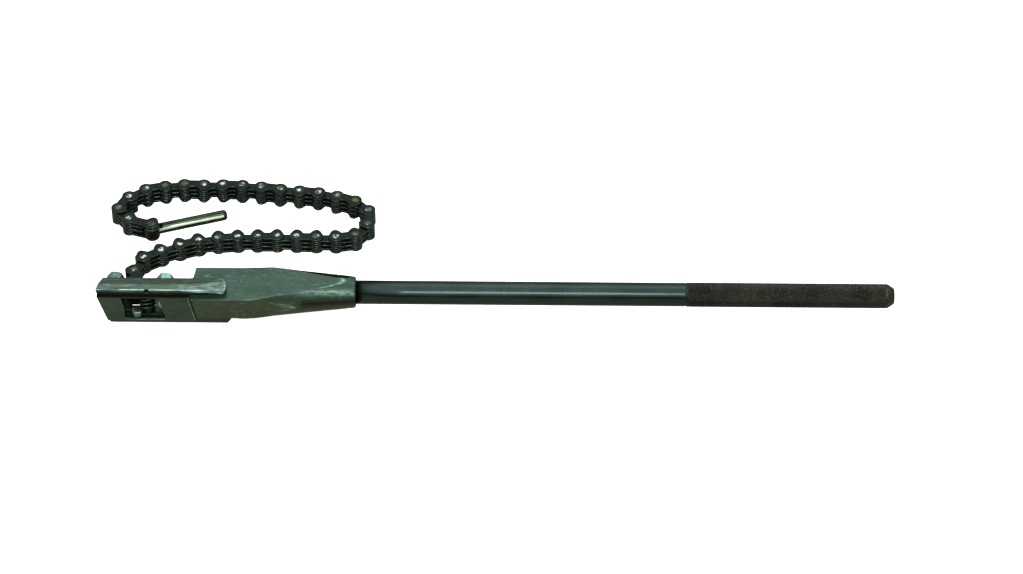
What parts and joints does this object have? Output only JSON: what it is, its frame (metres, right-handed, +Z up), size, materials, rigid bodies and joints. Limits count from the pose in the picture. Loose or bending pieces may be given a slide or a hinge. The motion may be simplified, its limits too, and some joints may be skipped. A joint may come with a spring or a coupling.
{
  "type": "chain wrench",
  "caption": "Chain wrench with a long round knurled handle, a forged head, a windowed two-rail jaw and a toothed leaf chain that ends in a plain tail rod.",
  "frame": {"origin": "middle of the object's outline on the surface that it lies on, under the lower jaw rail", "axes": "+X along the handle from the jaw's nose to the grip's end, +Y away from the web towards the chain, +Z up along the chain's rivets"},
  "size_m": [0.6368, 0.1419, 0.0416],
  "materials": {
    "forged_head": "dark forged steel with ground flats",
    "forged_jaw": "dark forged steel",
    "bar_steel": "blackened, lightly oiled",
    "chain_steel": "blackened plates, bright rivet heads",
    "rod_steel": "bright drawn",
    "pin_steel": "ground",
    "zinc": "zinc plated"
  },
  "bodies": {
    "root": {"handle_head": "forged_head", "handle_bar": "bar_steel", "jaw": "forged_jaw", "nose_block": "forged_jaw", "jaw_bolt_rear": "zinc", "jaw_bolt_front": "zinc", "washer_rear": "zinc", "washer_front": "zinc", "stop_screw": "zinc", "anchor_pin": "pin_steel", "anchor_set_screw": "bar_steel", "anchor_spacer_upper": "bar_steel", "anchor_spacer_lower": "bar_steel"},
    "link_01": {"link_01": "chain_steel"},
    "link_02": {"link_02": "chain_steel"},
    "link_03": {"link_03": "chain_steel"},
    "link_04": {"link_04": "chain_steel"},
    "link_05": {"link_05": "chain_steel"},
    "link_06": {"link_06": "chain_steel"},
    "link_07": {"link_07": "chain_steel"},
    "link_08": {"link_08": "chain_steel"},
    "link_09": {"link_09": "chain_steel"},
    "link_10": {"link_10": "chain_steel"},
    "link_11": {"link_11": "chain_steel"},
    "link_12": {"link_12": "chain_steel"},
    "link_13": {"link_13": "chain_steel"},
    "link_14": {"link_14": "chain_steel"},
    "link_15": {"link_15": "chain_steel"},
    "link_16": {"link_16": "chain_steel"},
    "link_17": {"link_17": "chain_steel"},
    "link_18": {"link_18": "chain_steel"},
    "link_19": {"link_19": "chain_steel"},
    "link_20": {"link_20": "chain_steel"},
    "link_21": {"link_21": "chain_steel"},
    "link_22": {"link_22": "chain_steel"},
    "link_23": {"link_23": "chain_steel"},
    "link_24": {"link_24": "chain_steel"},
    "link_25": {"link_25": "chain_steel"},
    "link_26": {"link_26": "chain_steel"},
    "link_27": {"link_27": "chain_steel"},
    "link_28": {"link_28": "chain_steel"},
    "link_29": {"link_29": "chain_steel"},
    "link_30": {"link_30": "chain_steel"},
    "link_31": {"link_31": "chain_steel"},
    "link_32": {"link_32": "chain_steel"},
    "tail_rod": {"tail_rod": "rod_steel"}
  },
  "joints": [
    {"name": "hinge_01", "type": "hinge", "parent": "root", "child": "link_01", "pos_m": [-0.27758, -0.06184, 0.0225], "axis": [0, 0, 1], "range_deg": [-10, 1]},
    {"name": "hinge_02", "type": "hinge", "parent": "link_01", "child": "link_02", "pos_m": [-0.28861, -0.05042, 0.0225], "axis": [0, 0, -1], "range_deg": [-1, 9]},
    {"name": "hinge_03", "type": "hinge", "parent": "link_02", "child": "link_03", "pos_m": [-0.29027, -0.03463, 0.0225], "axis": [0, 0, 1], "range_deg": [-9, 30]},
    {"name": "hinge_04", "type": "hinge", "parent": "link_03", "child": "link_04", "pos_m": [-0.28406, -0.02002, 0.0225], "axis": [0, 0, -1], "range_deg": [-30, 9]},
    {"name": "hinge_05", "type": "hinge", "parent": "link_04", "child": "link_05", "pos_m": [-0.27046, -0.01184, 0.0225], "axis": [0, 0, 1], "range_deg": [-11, 30]},
    {"name": "hinge_06", "type": "hinge", "parent": "link_05", "child": "link_06", "pos_m": [-0.25607, -0.00513, 0.0225], "axis": [0, 0, -1], "range_deg": [-30, 12]},
    {"name": "hinge_07", "type": "hinge", "parent": "link_06", "child": "link_07", "pos_m": [-0.24115, 0.0003, 0.0225], "axis": [0, 0, 1], "range_deg": [-13, 27]},
    {"name": "hinge_08", "type": "hinge", "parent": "link_07", "child": "link_08", "pos_m": [-0.22557, 0.00332, 0.0225], "axis": [0, 0, -1], "range_deg": [-19, 16]},
    {"name": "hinge_09", "type": "hinge", "parent": "link_08", "child": "link_09", "pos_m": [-0.20975, 0.00471, 0.0225], "axis": [0, 0, 1], "range_deg": [-18, 13]},
    {"name": "hinge_10", "type": "hinge", "parent": "link_09", "child": "link_10", "pos_m": [-0.19389, 0.00526, 0.0225], "axis": [0, 0, -1], "range_deg": [-11, 22]},
    {"name": "hinge_11", "type": "hinge", "parent": "link_10", "child": "link_11", "pos_m": [-0.17802, 0.00554, 0.0225], "axis": [0, 0, 1], "range_deg": [-28, 8]},
    {"name": "hinge_12", "type": "hinge", "parent": "link_11", "child": "link_12", "pos_m": [-0.16214, 0.00526, 0.0225], "axis": [0, 0, -1], "range_deg": [-8, 30]},
    {"name": "hinge_13", "type": "hinge", "parent": "link_12", "child": "link_13", "pos_m": [-0.14627, 0.00498, 0.0225], "axis": [0, 0, 1], "range_deg": [-30, 6]},
    {"name": "hinge_14", "type": "hinge", "parent": "link_13", "child": "link_14", "pos_m": [-0.1304, 0.00498, 0.0225], "axis": [0, 0, -1], "range_deg": [-6, 30]},
    {"name": "hinge_15", "type": "hinge", "parent": "link_14", "child": "link_15", "pos_m": [-0.11481, 0.00801, 0.0225], "axis": [0, 0, 1], "range_deg": [-30, 5]},
    {"name": "hinge_16", "type": "hinge", "parent": "link_15", "child": "link_16", "pos_m": [-0.10504, 0.02052, 0.0225], "axis": [0, 0, -1], "range_deg": [-4, 30]},
    {"name": "hinge_17", "type": "hinge", "parent": "link_16", "child": "link_17", "pos_m": [-0.10504, 0.0364, 0.0225], "axis": [0, 0, 1], "range_deg": [-30, 4]},
    {"name": "hinge_18", "type": "hinge", "parent": "link_17", "child": "link_18", "pos_m": [-0.11646, 0.04743, 0.0225], "axis": [0, 0, -1], "range_deg": [-4, 30]},
    {"name": "hinge_19", "type": "hinge", "parent": "link_18", "child": "link_19", "pos_m": [-0.13138, 0.05286, 0.0225], "axis": [0, 0, 1], "range_deg": [-30, 4]},
    {"name": "hinge_20", "type": "hinge", "parent": "link_19", "child": "link_20", "pos_m": [-0.14671, 0.05697, 0.0225], "axis": [0, 0, -1], "range_deg": [-5, 30]},
    {"name": "hinge_21", "type": "hinge", "parent": "link_20", "child": "link_21", "pos_m": [-0.16247, 0.0589, 0.0225], "axis": [0, 0, 1], "range_deg": [-30, 6]},
    {"name": "hinge_22", "type": "hinge", "parent": "link_21", "child": "link_22", "pos_m": [-0.17822, 0.06083, 0.0225], "axis": [0, 0, -1], "range_deg": [-7, 30]},
    {"name": "hinge_23", "type": "hinge", "parent": "link_22", "child": "link_23", "pos_m": [-0.1939, 0.06332, 0.0225], "axis": [0, 0, 1], "range_deg": [-30, 9]},
    {"name": "hinge_24", "type": "hinge", "parent": "link_23", "child": "link_24", "pos_m": [-0.20969, 0.06498, 0.0225], "axis": [0, 0, -1], "range_deg": [-11, 30]},
    {"name": "hinge_25", "type": "hinge", "parent": "link_24", "child": "link_25", "pos_m": [-0.22556, 0.06553, 0.0225], "axis": [0, 0, 1], "range_deg": [-30, 12]},
    {"name": "hinge_26", "type": "hinge", "parent": "link_25", "child": "link_26", "pos_m": [-0.24143, 0.06525, 0.0225], "axis": [0, 0, -1], "range_deg": [-15, 30]},
    {"name": "hinge_27", "type": "hinge", "parent": "link_26", "child": "link_27", "pos_m": [-0.2573, 0.06553, 0.0225], "axis": [0, 0, 1], "range_deg": [-30, 22]},
    {"name": "hinge_28", "type": "hinge", "parent": "link_27", "child": "link_28", "pos_m": [-0.27302, 0.06332, 0.0225], "axis": [0, 0, -1], "range_deg": [-17, 30]},
    {"name": "hinge_29", "type": "hinge", "parent": "link_28", "child": "link_29", "pos_m": [-0.28842, 0.05948, 0.0225], "axis": [0, 0, 1], "range_deg": [-19, 13]},
    {"name": "hinge_30", "type": "hinge", "parent": "link_29", "child": "link_30", "pos_m": [-0.30159, 0.0506, 0.0225], "axis": [0, 0, -1], "range_deg": [-10, 14]},
    {"name": "hinge_31", "type": "hinge", "parent": "link_30", "child": "link_31", "pos_m": [-0.30928, 0.03672, 0.0225], "axis": [0, 0, 1], "range_deg": [-11, 8]},
    {"name": "hinge_32", "type": "hinge", "parent": "link_31", "child": "link_32", "pos_m": [-0.29951, 0.02421, 0.0225], "axis": [0, 0, -1], "range_deg": [-12, 12]},
    {"name": "rod_hinge", "type": "hinge", "parent": "link_32", "child": "tail_rod", "pos_m": [-0.28049, 0.01803, 0.0225], "axis": [0, 0, 1], "range_deg": [-16, 18]}
  ]
}
